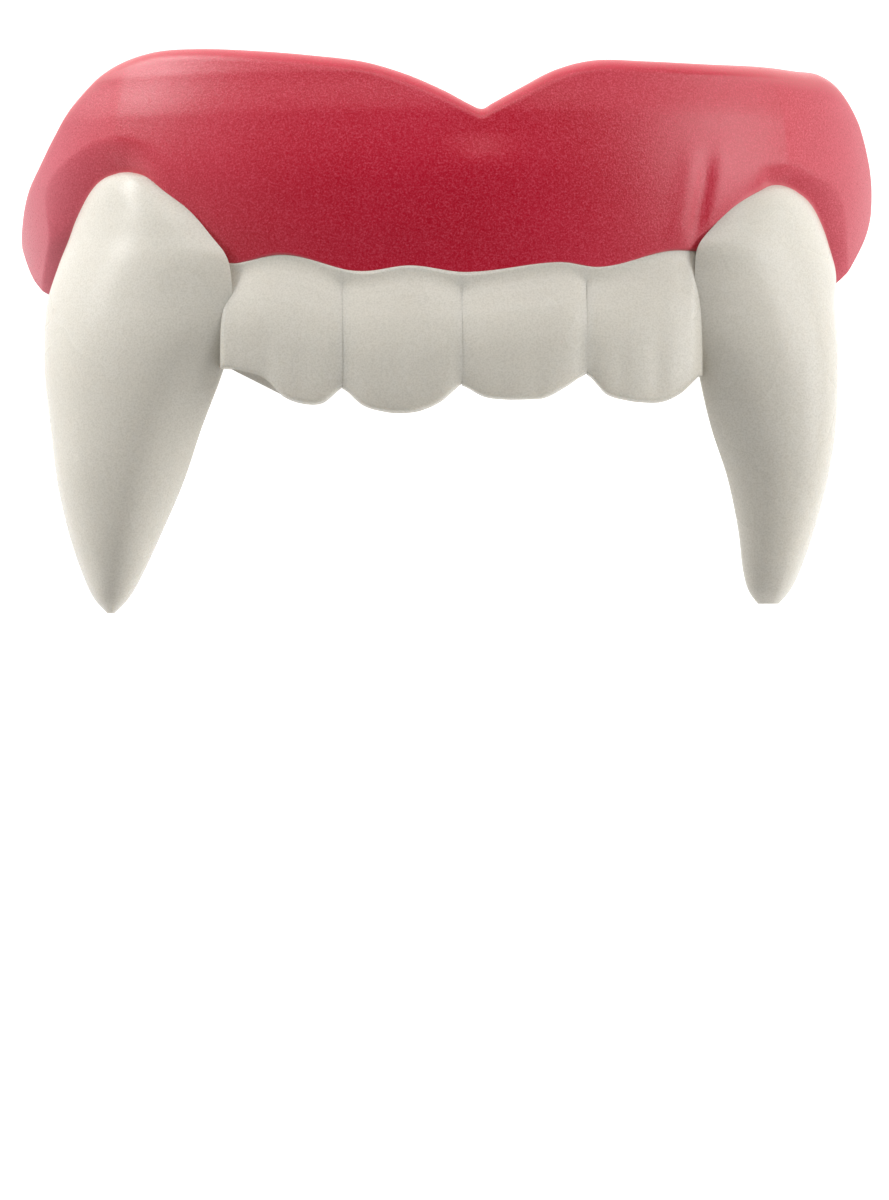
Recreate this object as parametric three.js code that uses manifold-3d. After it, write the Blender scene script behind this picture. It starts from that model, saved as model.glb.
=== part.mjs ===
// Vampire fang denture: the upper piece of a costume set, which slips over the wearer's own teeth.
// All lengths are millimetres. The pieces are laid out in the mouth's frame: X runs to the right as
// one looks at the teeth, Y runs back into the mouth and Z runs up from the gum line. The whole is
// then laid on its back, on the two heels of the bite tray, with the teeth looking up.
// Left and right are those of the person who looks at the teeth.

import * as THREE from 'three';
import Module from 'manifold-3d';

// Widths across the front, from left to right
const WING_LEFT = 1.9; // gum plate past the left fang
const FANG_LEFT_WIDTH = 11.9;
const LATERAL_LEFT_WIDTH = 7.5;
const CENTRAL_LEFT_WIDTH = 7.6;
const CENTRAL_RIGHT_WIDTH = 7.95;
const LATERAL_RIGHT_WIDTH = 7.3;
const FANG_RIGHT_WIDTH = 9.15;
const WING_RIGHT = 2.7;

// The arch that every piece follows is half an ellipse, seen from above
const ARCH_DEPTH = 20;

// Heights are measured from the gum line
const GUM_HEIGHT = 14.45;
const GUM_WALL = 2.2; // and the crowns reach as far behind the arch
const GUM_BULGE = 0.8; // how far the gum stands in front of the arch at its fullest
const CROWN_HEIGHT = 9.1;
const CROWN_BULGE = 1.6;
const FANG_LEFT_ROOT = 6.65; // top of the root, which stands in the gum
const FANG_LEFT_LENGTH = 28.45;
const FANG_RIGHT_ROOT = 5.8;
const FANG_RIGHT_LENGTH = 27;
const FANG_BULGE = 4.3;
const FANG_BACK = 3.2; // fang behind the arch

// The bite tray is a channel of an even wall
const TRAY_WALL = 1.6;
const TRAY_CHANNEL = 7; // room for the wearer's teeth, from front to back
const TRAY_UNDERSIDE = 5.5; // below the gum line
const TRAY_FRONT_TOP = 4;
const TRAY_BACK_TOP = 1.5;
const TRAY_DEPTH = 24; // from the front of the arch to the heels

const CLEARANCE = 0.3; // between neighbouring pieces

// Mesh steps
const GUM_STEPS = 3; // between two rows of the gum's table
const GUM_FACE_STEPS = 11; // up the face
const FANG_STEPS = 2;
const FANG_SIDES = 20;
const CROWN_STEPS = 12; // across a crown's face
const CROWN_BACK_STEPS = 4;
const TRAY_STEPS = 44;

// How square a section is: 2 is an oval, and larger is squarer
const FANG_SQUARENESS = 2.4;
const CROWN_SQUARENESS = 3.2;
const GUM_SQUARENESS = 5;

function table(names, rows) {
  const columns = names.split(' ');
  return rows.map((row) => Object.fromEntries(columns.map((name, k) => [name, row[k]])));
}

// Gum plate from its left end to its right end. along: share of the arch, from -1 to 1.
// low and high: its edges, as shares of its height. Under the teeth the lower edge follows the gum line.
const GUM_SECTIONS = table('along low high', [
  [-0.897, 0.162, 0.187],
  [-0.890, 0.118, 0.231],
  [-0.860, 0.030, 0.310],
  [-0.810, -0.050, 0.430],
  [-0.760, -0.095, 0.535],
  [-0.715, -0.085, 0.665],
  [-0.665, -0.050, 0.813],
  [-0.600, 0.000, 0.931],
  [-0.510, 0.000, 0.993],
  [-0.410, 0.000, 1.000],
  [-0.300, 0.000, 0.981],
  [-0.210, 0.000, 0.956],
  [-0.130, 0.000, 0.925],
  [-0.065, 0.000, 0.869],
  [-0.010, 0.000, 0.799],
  [0.030, 0.000, 0.736],
  [0.050, 0.000, 0.713],
  [0.068, 0.000, 0.741],
  [0.110, 0.000, 0.809],
  [0.165, 0.000, 0.890],
  [0.230, 0.000, 0.936],
  [0.320, 0.000, 0.936],
  [0.430, 0.000, 0.932],
  [0.540, 0.000, 0.933],
  [0.630, 0.000, 0.924],
  [0.700, -0.068, 0.918],
  [0.755, 0.014, 0.860],
  [0.795, 0.112, 0.737],
  [0.820, 0.185, 0.583],
  [0.833, 0.245, 0.425],
  [0.838, 0.305, 0.334],
]);

// Side view of the gum's face. height: share of the gum's height. stand: share of the gum's bulge.
const GUM_PROFILE = table('height stand', [
  [-0.10, -0.30],
  [0.00, 0.05],
  [0.22, 0.70],
  [0.45, 1.00],
  [0.70, 0.55],
  [0.88, -0.25],
  [1.00, -0.90],
]);

// Folds of the gum. along and reach: shares of the arch. low and high: shares of the gum's height
// between which the fold fades in and out. depth: millimetres, and negative for a groove.
const GUM_FOLDS = table('along reach low high depth', [
  [0.402, 0.018, 0.12, 0.50, -0.40],
  [0.374, 0.018, 0.12, 0.56, 0.22],
  [0.236, 0.016, 0.05, 0.42, -0.14],
  [0.210, 0.016, 0.05, 0.42, 0.12],
  [0.050, 0.050, 0.45, 1.00, -0.25],
  [-0.565, 0.030, 0.40, 1.00, -0.22],
  [0.575, 0.026, 0.40, 0.94, -0.30],
]);

const FOLD_FADE = 0.4; // share of a fold's half height from which it fades

// The slope from the gum down to each fang's root. reach: its width, as a share of the root's size.
// inner: share of the depth that is left at the side of the incisors.
const ROOT_SLOPE = { depth: 0.55, reach: 0.2, inner: 0.35 };
const ROOT_ARCH = 1.5; // how full the root's arch is, where 2 is an oval

// Fangs, from the top of the root to the tip. drop: share of the length. outer and inner: edges, as
// shares of the width from the side of the incisors. front and back: shares of the fang's bulge and of
// its back. follow: how closely the section follows the arch's turn.
const FANG_COLUMNS = 'drop outer inner front back follow';
const FANG_LEFT_SECTIONS = table(FANG_COLUMNS, [
  [0.000, 0.595, 0.525, 0.08, 0.30, 1.00],
  [0.012, 0.690, 0.432, 0.26, 0.36, 1.00],
  [0.040, 0.757, 0.342, 0.44, 0.36, 1.00],
  [0.096, 0.831, 0.190, 0.66, 0.36, 0.98],
  [0.150, 0.882, 0.085, 0.80, 0.36, 0.92],
  [0.205, 0.930, 0.015, 0.90, 0.38, 0.80],
  [0.285, 0.990, 0.000, 0.97, 0.50, 0.62],
  [0.370, 1.004, 0.000, 1.00, 0.66, 0.46],
  [0.460, 1.000, 0.040, 1.00, 0.84, 0.36],
  [0.580, 0.965, 0.136, 0.95, 1.00, 0.32],
  [0.700, 0.929, 0.234, 0.84, 0.94, 0.32],
  [0.820, 0.865, 0.358, 0.66, 0.74, 0.32],
  [0.910, 0.792, 0.458, 0.44, 0.50, 0.32],
  [0.965, 0.730, 0.534, 0.27, 0.30, 0.32],
  [1.000, 0.655, 0.615, 0.08, 0.08, 0.32],
]);
const FANG_RIGHT_SECTIONS = table(FANG_COLUMNS, [
  [0.000, 0.600, 0.460, 0.08, 0.30, 1.00],
  [0.012, 0.690, 0.400, 0.26, 0.36, 1.00],
  [0.040, 0.800, 0.272, 0.46, 0.36, 1.00],
  [0.090, 0.885, 0.135, 0.68, 0.36, 0.98],
  [0.150, 0.945, 0.015, 0.84, 0.36, 0.92],
  [0.210, 0.985, 0.000, 0.92, 0.38, 0.80],
  [0.285, 0.972, 0.000, 0.98, 0.50, 0.62],
  [0.370, 0.990, 0.000, 1.00, 0.66, 0.46],
  [0.460, 0.990, 0.015, 1.00, 0.84, 0.36],
  [0.580, 0.973, 0.085, 0.96, 1.00, 0.32],
  [0.700, 0.918, 0.202, 0.86, 0.94, 0.32],
  [0.820, 0.823, 0.276, 0.70, 0.76, 0.32],
  [0.910, 0.730, 0.306, 0.54, 0.58, 0.32],
  [0.965, 0.652, 0.345, 0.40, 0.42, 0.32],
  [1.000, 0.565, 0.415, 0.14, 0.14, 0.32],
]);

// Side view of an incisor, from the gum line to the biting edge. drop: share of the crown's height
// there. front and back: shares of its bulge and of its back.
const CROWN_PROFILE = table('drop front back', [
  [0.00, 0.04, 1.00],
  [0.05, 0.22, 1.00],
  [0.11, 0.58, 1.00],
  [0.18, 0.80, 1.00],
  [0.28, 0.93, 1.00],
  [0.42, 1.00, 1.00],
  [0.60, 1.00, 1.00],
  [0.76, 0.98, 0.92],
  [0.88, 0.94, 0.76],
  [0.95, 0.82, 0.54],
  [0.985, 0.64, 0.34],
  [1.00, 0.38, 0.14],
]);
const CROWN_GROOVE = 0.62; // what is left of the bulge between two crowns, as a share

// Incisors from left to right. foot and crest: the low and the high point of the gum line over the
// crown, each as its place across the crown and its height, a share of the crown's. edges: the biting
// edge at even steps from left to right, as shares of the crown's height.
const INCISORS = [
  {
    name: 'incisor_left_lateral', width: LATERAL_LEFT_WIDTH, foot: [0.03, 0.046], crest: [0.48, 0.110],
    edges: [0.680, 0.705, 0.755, 0.880, 0.930, 0.925, 0.820],
  },
  {
    name: 'incisor_left_central', width: CENTRAL_LEFT_WIDTH, foot: [0.18, -0.028], crest: [0.56, 0.017],
    edges: [0.828, 0.942, 0.986, 0.998, 0.978, 0.912, 0.795],
  },
  {
    name: 'incisor_right_central', width: CENTRAL_RIGHT_WIDTH, foot: [0.03, -0.038], crest: [0.80, 0.047],
    edges: [0.808, 0.882, 0.903, 0.903, 0.890, 0.812, 0.720],
  },
  {
    name: 'incisor_right_lateral', width: LATERAL_RIGHT_WIDTH, foot: [0.09, 0.014], crest: [0.80, 0.152],
    edges: [0.728, 0.860, 0.902, 0.918, 0.912, 0.848, 0.725],
  },
];
const LAST_NECK = 0.150; // the gum line where the incisors end, as a share of the crown's height
const OUTER_NECKS = [-0.105, -0.060]; // and at the outer sides of the two fangs

// Places across the front, from the widths
const INCISOR_ROW = INCISORS.reduce((sum, tooth) => sum + tooth.width, 0);
const ARCH_HALF_WIDTH = (WING_LEFT + FANG_LEFT_WIDTH + INCISOR_ROW + FANG_RIGHT_WIDTH + WING_RIGHT) / 2;
const FIRST_INCISOR = WING_LEFT + FANG_LEFT_WIDTH - ARCH_HALF_WIDTH;
const LAST_INCISOR = FIRST_INCISOR + INCISOR_ROW;

const FANGS = [
  {
    name: 'fang_left', side: -1, start: FIRST_INCISOR, width: FANG_LEFT_WIDTH,
    root: FANG_LEFT_ROOT, length: FANG_LEFT_LENGTH, sections: FANG_LEFT_SECTIONS,
  },
  {
    name: 'fang_right', side: 1, start: LAST_INCISOR, width: FANG_RIGHT_WIDTH,
    root: FANG_RIGHT_ROOT, length: FANG_RIGHT_LENGTH, sections: FANG_RIGHT_SECTIONS,
  },
];

// A smooth curve through even places, taken between two of four neighbours
function curve(before, from, to, after, t) {
  const slope = (to - before) * t;
  const bend = (2 * before - 5 * from + 4 * to - after) * t * t;
  const turn = (3 * from - before - 3 * to + after) * t * t * t;
  return from + (slope + bend + turn) / 2;
}

function along(values, place) {
  const last = values.length - 1;
  const from = THREE.MathUtils.clamp(Math.floor(place), 0, last - 1);
  const near = [-1, 0, 1, 2].map((step) => values[THREE.MathUtils.clamp(from + step, 0, last)]);
  return curve(...near, place - from);
}

// The rows of a table joined by smooth curves: place 1.5 is halfway from the second row to the third
function rowAt(rows, place) {
  const names = Object.keys(rows[0]);
  return Object.fromEntries(names.map((name) => [name, along(rows.map((row) => row[name]), place)]));
}

// The row of a table at a value of its first column
function rowFor(rows, name, value) {
  const next = rows.findIndex((row) => row[name] > value);
  const to = next < 0 ? rows.length - 1 : Math.max(next, 1);
  const share = (value - rows[to - 1][name]) / (rows[to][name] - rows[to - 1][name]);
  return rowAt(rows, to - 1 + THREE.MathUtils.clamp(share, 0, 1));
}

function power(value, exponent) {
  return Math.sign(value) * Math.abs(value) ** exponent;
}

// How full an oval section is at a share of its width
function fullness(share, squareness) {
  return (1 - Math.min(Math.abs(2 * share - 1), 1) ** squareness) ** (1 / squareness);
}

// A point of the arch, moved out from it and up
function onArch(share, out, height) {
  const turn = (share * Math.PI) / 2;
  const x = (ARCH_HALF_WIDTH + out) * Math.sin(turn);
  const y = ARCH_DEPTH - (ARCH_DEPTH + out) * Math.cos(turn);
  return new THREE.Vector3(x, y, height);
}

// How far back the arch, moved out, lies at a place across the front
function archBack(x, out = 0) {
  const share = Math.min(Math.abs(x) / (ARCH_HALF_WIDTH + out), 1);
  return ARCH_DEPTH - (ARCH_DEPTH + out) * Math.sqrt(1 - share * share);
}

// The gum line: level at its low and high points over each crown, and smooth between them
function gumLine(x) {
  const knots = [{ x: FIRST_INCISOR - FANG_LEFT_WIDTH, neck: OUTER_NECKS[0] }];
  let start = FIRST_INCISOR;
  for (const tooth of INCISORS) {
    for (const [share, neck] of [tooth.foot, tooth.crest]) {
      knots.push({ x: start + tooth.width * share, neck });
    }
    start += tooth.width;
  }
  knots.push({ x: LAST_INCISOR, neck: LAST_NECK });
  knots.push({ x: LAST_INCISOR + FANG_RIGHT_WIDTH, neck: OUTER_NECKS[1] });
  const next = Math.max(knots.findIndex((knot) => knot.x >= x), 1);
  const [from, to] = [knots[next - 1], knots[next]];
  const share = THREE.MathUtils.smoothstep(x, from.x, to.x);
  return CROWN_HEIGHT * THREE.MathUtils.lerp(from.neck, to.neck, share);
}

// A closed solid through rings of points, with a flat end on the first and the last.
// flat gives a ring's point in the plane of the ring.
function loft(rings, flat) {
  const count = rings[0].length;
  const index = [];
  for (let r = 0; r + 1 < rings.length; r += 1) {
    for (let i = 0; i < count; i += 1) {
      const a = r * count + i;
      const b = r * count + ((i + 1) % count);
      index.push(a, b, b + count, a, b + count, a + count);
    }
  }
  for (const r of [0, rings.length - 1]) {
    const outline = rings[r].map(flat);
    const forward = THREE.ShapeUtils.area(outline) > 0;
    for (const face of THREE.ShapeUtils.triangulateShape(outline, [])) {
      const same = THREE.ShapeUtils.area(face.map((i) => outline[i])) > 0 === forward;
      const ends = same === (r > 0) ? face : [...face].reverse();
      index.push(...ends.map((i) => i + r * count));
    }
  }
  const geometry = new THREE.BufferGeometry();
  geometry.setAttribute('position', new THREE.Float32BufferAttribute(
    rings.flat().flatMap((point) => point.toArray()), 3));
  geometry.setIndex(index);
  return geometry;
}

const fromAbove = (point) => new THREE.Vector2(point.x, point.y);
const fromBehind = (point) => new THREE.Vector2(point.x, point.z);
const acrossArch = (point) => new THREE.Vector2(Math.hypot(point.x, point.y - ARCH_DEPTH), point.z);

// A fang as a stack of level oval sections, which stay in front of the bite tray.
// grow makes it larger all round, for the socket that it stands in.
function fangGeometry({ side, start, width, root, length, sections }, grow = 0) {
  const inner = start + side * CLEARANCE / 2;
  const rings = [];
  for (let k = 0; k <= (sections.length - 1) * FANG_STEPS; k += 1) {
    const row = rowAt(sections, k / FANG_STEPS);
    const middle = inner + side * width * (row.outer + row.inner) / 2;
    const half = width * (row.outer - row.inner) / 2 + grow;
    const height = root + grow - (length + 2 * grow) * row.drop;
    const ring = [];
    for (let i = 0; i < FANG_SIDES; i += 1) {
      const angle = (2 * Math.PI * i) / FANG_SIDES;
      const x = middle + half * power(Math.cos(angle), 2 / FANG_SQUARENESS);
      const reach = Math.sin(angle) > 0 ? FANG_BULGE * row.front + grow : FANG_BACK * row.back + grow;
      const forward = reach * power(Math.sin(angle), 2 / FANG_SQUARENESS);
      const base = THREE.MathUtils.lerp(archBack(middle), archBack(x), row.follow);
      ring.push(new THREE.Vector3(x, Math.min(base - forward, archBack(x, -GUM_WALL)), height));
    }
    rings.push(ring);
  }
  return loft(rings, fromAbove);
}

// An incisor's crown: a full face, a flat back that meets the bite tray, and a rounded biting edge
function crownGeometry({ width, edges }, start) {
  const left = start + CLEARANCE / 2;
  const right = start + width - CLEARANCE / 2;
  const point = (share, drop, stand) => {
    const x = THREE.MathUtils.lerp(left, right, share);
    const neck = gumLine(x) - CLEARANCE / 2;
    const edge = -CROWN_HEIGHT * along(edges, share * (edges.length - 1));
    return new THREE.Vector3(x, archBack(x) - stand, THREE.MathUtils.lerp(neck, edge, drop));
  };
  const rings = CROWN_PROFILE.map((row) => {
    const ring = [];
    for (let i = 0; i <= CROWN_STEPS; i += 1) {
      const share = i / CROWN_STEPS;
      const full = THREE.MathUtils.lerp(CROWN_GROOVE, 1, fullness(share, CROWN_SQUARENESS));
      ring.push(point(share, row.drop, CROWN_BULGE * row.front * full));
    }
    for (let i = CROWN_BACK_STEPS; i >= 0; i -= 1) {
      ring.push(point(i / CROWN_BACK_STEPS, row.drop, -GUM_WALL * row.back));
    }
    return ring.reverse();
  });
  return loft(rings, fromAbove);
}

// How far the gum's face stands in front of its even wall, from folds and the slopes round the roots
function gumRelief(share, height) {
  let relief = 0;
  for (const fold of GUM_FOLDS) {
    const middle = (fold.low + fold.high) / 2;
    const fade = Math.abs(height / GUM_HEIGHT - middle) / ((fold.high - fold.low) / 2);
    const near = Math.exp(-(((share - fold.along) / fold.reach) ** 2));
    relief += fold.depth * near * (1 - THREE.MathUtils.smoothstep(fade, FOLD_FADE, 1));
  }
  for (const fang of FANGS) {
    const middle = fang.start + (fang.side * fang.width) / 2;
    const across = (onArch(share, 0, 0).x - middle) / (fang.width / 2);
    const up = Math.max(height, 0) / fang.root;
    const away = (Math.abs(across) ** ROOT_ARCH + up ** ROOT_ARCH) ** (1 / ROOT_ARCH);
    const near = 1 - THREE.MathUtils.clamp((away - 1) / ROOT_SLOPE.reach, 0, 1);
    const outward = THREE.MathUtils.smoothstep(fang.side * across, -0.5, 0.5);
    relief -= ROOT_SLOPE.depth * near * THREE.MathUtils.lerp(ROOT_SLOPE.inner, 1, outward);
  }
  return relief;
}

// The gum plate's even wall, before the sockets
function gumWall() {
  const rings = [];
  for (let k = 0; k <= (GUM_SECTIONS.length - 1) * GUM_STEPS; k += 1) {
    const row = rowAt(GUM_SECTIONS, k / GUM_STEPS);
    const { x } = onArch(row.along, 0, 0);
    const overTeeth = x > FIRST_INCISOR - FANG_LEFT_WIDTH && x < LAST_INCISOR + FANG_RIGHT_WIDTH;
    const low = overTeeth ? gumLine(x) + CLEARANCE / 2 : GUM_HEIGHT * row.low;
    const high = GUM_HEIGHT * row.high;
    const point = (step, face) => {
      const share = (1 - Math.cos((Math.PI * step) / GUM_FACE_STEPS)) / 2;
      const height = THREE.MathUtils.lerp(low, high, share);
      const stand = GUM_BULGE * rowFor(GUM_PROFILE, 'height', height / GUM_HEIGHT).stand;
      const full = fullness(share, GUM_SQUARENESS);
      const relief = face > 0 ? gumRelief(row.along, height) : 0;
      return onArch(row.along, stand - GUM_WALL / 2 + full * (face * GUM_WALL / 2 + relief), height);
    };
    const ring = [];
    for (let step = 0; step < GUM_FACE_STEPS; step += 1) {
      ring.push(point(step, -1));
    }
    for (let step = GUM_FACE_STEPS; step > 0; step -= 1) {
      ring.push(point(step, 1));
    }
    rings.push(ring);
  }
  return loft(rings, acrossArch);
}

// The bite tray: a channel bent round the arch behind the gum plate, with straight heels
function trayGeometry() {
  const face = -GUM_WALL - CLEARANCE;
  const [floor, shelf] = [-TRAY_UNDERSIDE, TRAY_WALL - TRAY_UNDERSIDE];
  const [front, back] = [face - TRAY_WALL, face - TRAY_WALL - TRAY_CHANNEL];
  const outline = [
    [back - TRAY_WALL, floor], [back - TRAY_WALL, TRAY_BACK_TOP], [back, TRAY_BACK_TOP], [back, shelf],
    [front, shelf], [front, TRAY_FRONT_TOP], [face, TRAY_FRONT_TOP], [face, floor],
  ];
  const ringAt = (share) => outline.map(([out, height]) => onArch(share, out, height));
  const heel = (share) => ringAt(share).map((point) => point.setY(TRAY_DEPTH));
  const rings = [heel(-1)];
  for (let k = 0; k <= TRAY_STEPS; k += 1) {
    rings.push(ringAt((2 * k) / TRAY_STEPS - 1));
  }
  rings.push(heel(1));
  return loft(rings, fromBehind);
}

const wasm = await Module();
wasm.setup();

function toSolid(geometry) {
  return new wasm.Manifold(new wasm.Mesh({
    numProp: 3,
    vertProperties: geometry.getAttribute('position').array,
    triVerts: new Uint32Array(geometry.getIndex().array),
  }));
}

function fromSolid(solid) {
  const { vertProperties, triVerts } = solid.getMesh();
  const geometry = new THREE.BufferGeometry();
  geometry.setAttribute('position', new THREE.BufferAttribute(vertProperties, 3));
  geometry.setIndex(new THREE.BufferAttribute(triVerts, 1));
  return geometry;
}

// The gum plate with a socket for the root of each fang
function gumGeometry() {
  const sockets = FANGS.map((fang) => toSolid(fangGeometry(fang, CLEARANCE)));
  return fromSolid(sockets.reduce((gum, socket) => gum.subtract(socket), toSolid(gumWall())));
}

const GUM_RED = new THREE.MeshStandardMaterial({ color: '#b4384b', roughness: 0.42, metalness: 0 });
const TOOTH_IVORY = new THREE.MeshStandardMaterial({ color: '#e3e0d4', roughness: 0.28, metalness: 0 });

const mouth = new THREE.Group();

function addPiece(name, geometry, material) {
  geometry.computeVertexNormals();
  const mesh = new THREE.Mesh(geometry, material.clone());
  mesh.name = name;
  mouth.add(mesh);
}

addPiece('gum_plate', gumGeometry(), GUM_RED);
addPiece('bite_tray', trayGeometry(), TOOTH_IVORY);
for (const fang of FANGS) {
  addPiece(fang.name, fangGeometry(fang), TOOTH_IVORY);
}
let start = FIRST_INCISOR;
for (const tooth of INCISORS) {
  addPiece(tooth.name, crownGeometry(tooth, start), TOOTH_IVORY);
  start += tooth.width;
}

// Laid on its heels, with the middle of its outline over the origin
mouth.rotation.x = -Math.PI / 2;
mouth.updateMatrixWorld(true);
const reach = new THREE.Box3().setFromObject(mouth, true);
const middle = reach.getCenter(new THREE.Vector3());
mouth.position.set(-middle.x, -middle.y, -reach.min.z);

const denture = new THREE.Group();
denture.add(mouth);

export default denture;
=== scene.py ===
import math

import bpy
import numpy as np
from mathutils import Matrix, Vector


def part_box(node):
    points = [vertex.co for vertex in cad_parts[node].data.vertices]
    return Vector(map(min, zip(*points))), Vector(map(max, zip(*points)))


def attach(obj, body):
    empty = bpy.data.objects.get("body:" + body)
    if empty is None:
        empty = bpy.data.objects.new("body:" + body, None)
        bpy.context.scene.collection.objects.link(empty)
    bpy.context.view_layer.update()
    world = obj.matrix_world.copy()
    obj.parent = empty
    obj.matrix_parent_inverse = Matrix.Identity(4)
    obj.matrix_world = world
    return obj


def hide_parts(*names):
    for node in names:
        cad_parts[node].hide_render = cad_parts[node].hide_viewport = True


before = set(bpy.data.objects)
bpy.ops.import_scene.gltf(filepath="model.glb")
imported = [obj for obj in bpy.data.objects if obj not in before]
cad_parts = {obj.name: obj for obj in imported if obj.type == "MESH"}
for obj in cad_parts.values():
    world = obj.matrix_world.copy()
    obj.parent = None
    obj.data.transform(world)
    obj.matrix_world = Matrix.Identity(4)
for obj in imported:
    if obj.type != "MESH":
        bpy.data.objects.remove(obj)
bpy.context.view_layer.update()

# The shapes are worked out in millimetres in the mouth's frame: X to the right as one looks at the
# teeth, Y back into the mouth and Z up from the gum line. place() turns them into the row's metres.
# Left and right are those of the person who looks at the teeth.

# Widths across the front
WING_LEFT = 1.9  # gum past the left fang
FANG_LEFT_WIDTH = 11.9
LATERAL_LEFT_WIDTH = 7.5
CENTRAL_LEFT_WIDTH = 7.6
CENTRAL_RIGHT_WIDTH = 7.95
LATERAL_RIGHT_WIDTH = 7.3
FANG_RIGHT_WIDTH = 9.15
WING_RIGHT = 2.7

ARCH_DEPTH = 20.0  # the arch is half an ellipse, seen from above

# Heights from the gum line, walls, and how far things stand in front of the arch
GUM_HEIGHT = 14.45
GUM_WALL = 2.2
GUM_BULGE = 0.8
GUM_TOP_ROUND = 0.8
GUM_LOW_ROUND = 0.18
PAINTED_SHEEN_SPAN = (0.50, 0.80)  # shares of the arch between which the paint is paled towards its ends, a painted sheen for the grazing reflection there
PAINTED_SHEEN_RIGHT = 0.5  # of the painted sheen at the left end
RIM_KEPT = (0.35, 0.60)  # shares of the arch between which the rim's pale band begins: worn paint, partly a painted highlight
RIM_KEPT_DEPTH = 0.8
CROWN_HEIGHT = 9.1
CROWN_BULGE = 1.4
CROWN_PILLOW = 0.25  # share of the bulge that a crown loses towards its sides
CROWN_SIDES = (3.0, 4.5)  # how late it falls back to its left and its right
CROWN_FILLET = 0.18  # share of the half width over which the valley between two crowns is filled
CROWN_DENT = 0.05
DENT_REACH = 0.08  # share of the crown's width
DENT_DROP = (0.35, 0.80)  # shares of the crown's height between which the dents come in
COLLAR_CORNER = 5  # how late the collar goes over to its ends: 1 is a straight slope
CROWN_ROUND = (0.4, 0.8)  # radius of the two outer crowns' sides by the fangs
CROWN_HIDDEN = 0.8  # crown behind the gum
HIDDEN_SLOPE = 0.5  # how fast this part leans back
CROWN_OVERLAP = (0.35, 0.15)  # how far these two sides reach into the fangs
FANG_BULGE = 3.8
FANG_BACK = 3.2
TRAY_WALL = 1.6
TRAY_CHANNEL = 7.0
TRAY_UNDERSIDE = 5.5
TRAY_FRONT_TOP = 4.0
TRAY_BACK_TOP = 1.5
TRAY_DEPTH = 24.0
TRAY_ROUND = 0.45
CLEARANCE = 0.3
GUM_BACK_ROUND = GUM_WALL / 3  # the most by which the gum's back is rounded at its edges


def table(names, rows):
    """A table with named columns, as one array for each column."""
    return dict(zip(names.split(), np.array(rows, float).T))


# Gum plate from its left end to its right end. along: share of the arch, from -1 to 1.
# low and high: its edges, as shares of its height. Under the teeth the lower edge is the gum line.
GUM_SECTIONS = table("along low high", [
    (-0.897, 0.162, 0.187),
    (-0.890, 0.118, 0.231),
    (-0.860, 0.030, 0.310),
    (-0.810, -0.050, 0.430),
    (-0.760, -0.095, 0.535),
    (-0.715, -0.085, 0.665),
    (-0.665, -0.050, 0.813),
    (-0.600, 0.000, 0.931),
    (-0.510, 0.000, 0.993),
    (-0.410, 0.000, 1.000),
    (-0.300, 0.000, 0.981),
    (-0.210, 0.000, 0.956),
    (-0.130, 0.000, 0.925),
    (-0.065, 0.000, 0.869),
    (-0.010, 0.000, 0.799),
    (0.030, 0.000, 0.736),
    (0.050, 0.000, 0.713),
    (0.068, 0.000, 0.741),
    (0.110, 0.000, 0.809),
    (0.165, 0.000, 0.890),
    (0.230, 0.000, 0.936),
    (0.320, 0.000, 0.936),
    (0.430, 0.000, 0.932),
    (0.540, 0.000, 0.933),
    (0.630, 0.000, 0.924),
    (0.700, -0.068, 0.918),
    (0.755, 0.014, 0.860),
    (0.795, 0.112, 0.737),
    (0.820, 0.185, 0.583),
    (0.833, 0.245, 0.425),
    (0.838, 0.305, 0.334),
])

# Side view of the gum's face. height: share of its height. stand: share of its bulge.
GUM_PROFILE = table("height stand", [
    (-0.10, -0.30),
    (0.00, 0.05),
    (0.22, 0.70),
    (0.45, 1.00),
    (0.70, 0.55),
    (0.88, -0.25),
    (1.00, -0.90),
])

# Folds. along and reach: shares of the arch. lean: how far along it shifts up the gum's height. low and
# high: shares of that height between which it fades in and out. depth: millimetres, negative for a groove.
GUM_FOLDS = [
    dict(along=0.354, reach=0.018, lean=0.050, low=0.05, high=0.62, depth=0.06),
    dict(along=0.382, reach=0.013, lean=0.050, low=0.08, high=0.56, depth=-0.15),
    dict(along=0.408, reach=0.016, lean=0.050, low=0.15, high=0.66, depth=0.05),
    dict(along=0.020, reach=0.014, lean=0.000, low=0.05, high=0.35, depth=-0.03),
    dict(along=0.050, reach=0.050, lean=0.000, low=0.45, high=1.00, depth=-0.25),
]
# Creases where the gum's two ends turn away. side: -1 for the left. width: of the dip past it.
GUM_CREASES = [
    dict(side=-1, along=0.540, width=2.0, low=0.40, high=1.00, depth=0.12),
    dict(side=1, along=0.552, width=2.0, low=0.40, high=0.94, depth=0.16),
]

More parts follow.
